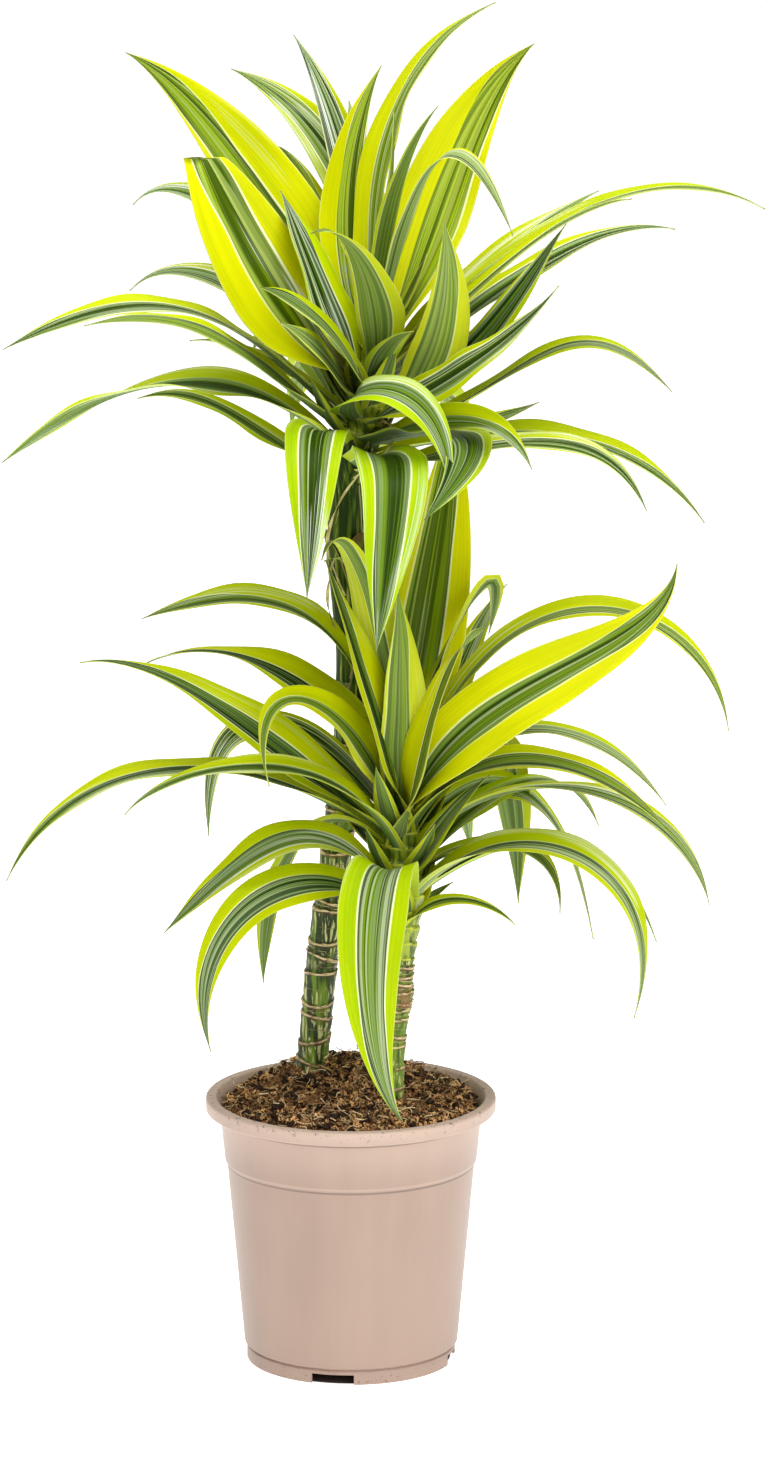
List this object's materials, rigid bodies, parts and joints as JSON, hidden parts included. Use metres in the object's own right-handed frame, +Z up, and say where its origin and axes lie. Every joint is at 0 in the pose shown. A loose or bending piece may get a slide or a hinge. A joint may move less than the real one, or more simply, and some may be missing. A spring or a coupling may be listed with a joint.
{
  "type": "potted dracaena",
  "caption": "Potted dracaena: a tall and a short ringed cane, each under a head of arching striped strap leaves, in a tapered round nursery pot filled with soil.",
  "frame": {"origin": "middle of the pot's foot, on the surface that the pot stands on", "axes": "+Z up along the pot's axis, +X to the right and +Y to the back as seen from the front, where the short cane stands at the front right"},
  "size_m": [0.4368, 0.2996, 0.7975],
  "materials": {
    "pot": "satin",
    "soil": "matte",
    "tall_cane": "satin",
    "short_cane": "satin",
    "upper_crown": "satin",
    "lower_crown": "satin"
  },
  "bodies": {
    "root": {"pot": "pot", "soil": "soil", "tall_cane": "tall_cane", "short_cane": "short_cane", "upper_crown": "upper_crown", "lower_crown": "lower_crown"}
  },
  "joints": []
}
